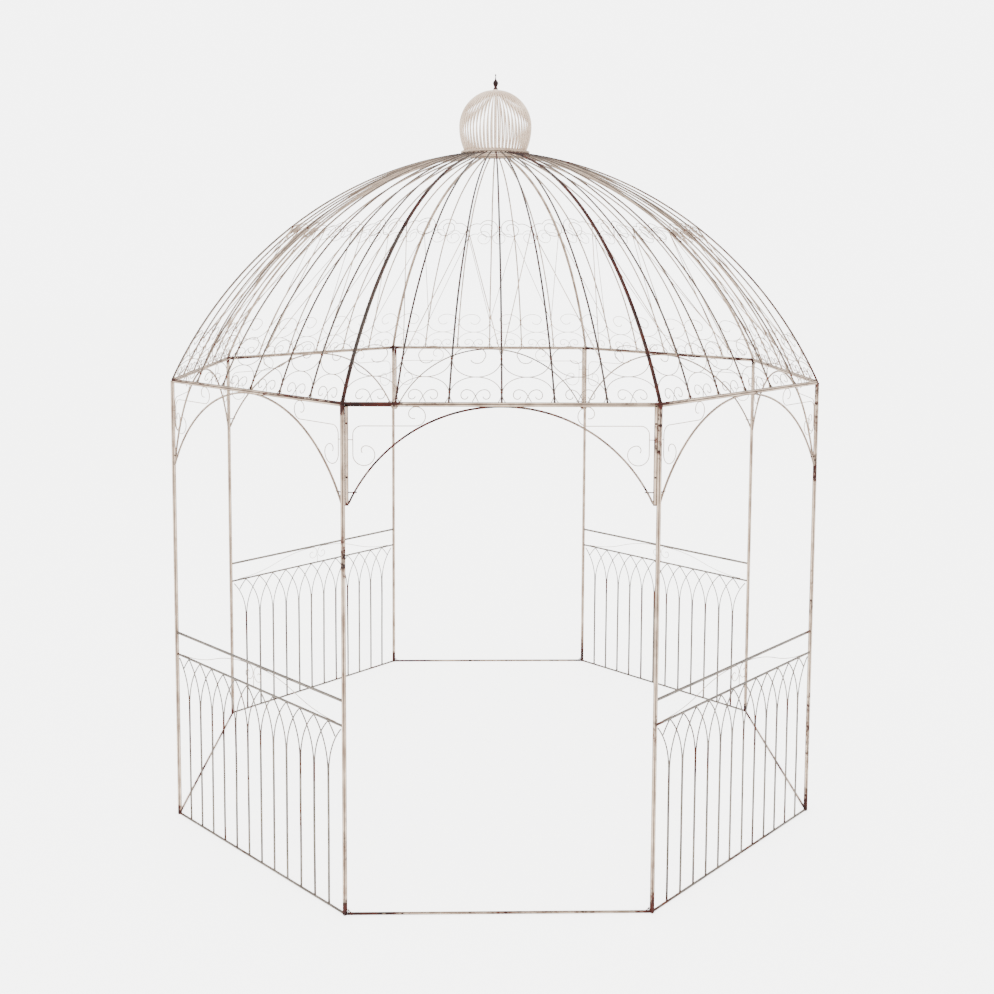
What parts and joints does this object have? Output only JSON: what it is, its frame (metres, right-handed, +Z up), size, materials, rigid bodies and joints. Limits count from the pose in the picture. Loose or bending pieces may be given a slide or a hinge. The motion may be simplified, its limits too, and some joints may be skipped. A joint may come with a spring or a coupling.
{
  "type": "wrought-iron garden pergola",
  "caption": "Octagonal wrought-iron garden pergola with arched sides, picket railings, a ribbed birdcage dome and an openwork onion ball.",
  "frame": {"origin": "middle of the octagonal ground plan, on the ground", "axes": "+Z up; -Y towards the open front side; +X to the right seen from the front"},
  "size_m": [3.0498, 3.0498, 3.6149],
  "materials": {
    "frame_paint": "aged matt cream paint over rusting iron",
    "railing_paint": "worn grey-cream paint with brown rust showing",
    "rusted_iron": "dark red-brown rust"
  },
  "bodies": {
    "root": {"post_front_left": "frame_paint", "post_front_right": "frame_paint", "post_right_front": "frame_paint", "post_right_back": "frame_paint", "post_back_right": "frame_paint", "post_back_left": "frame_paint", "post_left_back": "frame_paint", "post_left_front": "frame_paint", "railing_front_right": "railing_paint", "railing_back_right": "railing_paint", "railing_back_left": "railing_paint", "railing_front_left": "railing_paint", "ground_bar_front": "frame_paint", "ground_bar_right": "frame_paint", "ground_bar_back": "frame_paint", "ground_bar_left": "frame_paint", "arch_front": "frame_paint", "arch_front_right": "frame_paint", "arch_right": "frame_paint", "arch_back_right": "frame_paint", "arch_back": "frame_paint", "arch_back_left": "frame_paint", "arch_left": "frame_paint", "arch_front_left": "frame_paint", "dome_panel_front": "frame_paint", "dome_panel_front_right": "frame_paint", "dome_panel_right": "frame_paint", "dome_panel_back_right": "frame_paint", "dome_panel_back": "frame_paint", "dome_panel_back_left": "frame_paint", "dome_panel_left": "frame_paint", "dome_panel_front_left": "frame_paint", "neck_ring": "frame_paint", "onion_ball": "frame_paint", "finial": "rusted_iron"}
  },
  "joints": []
}
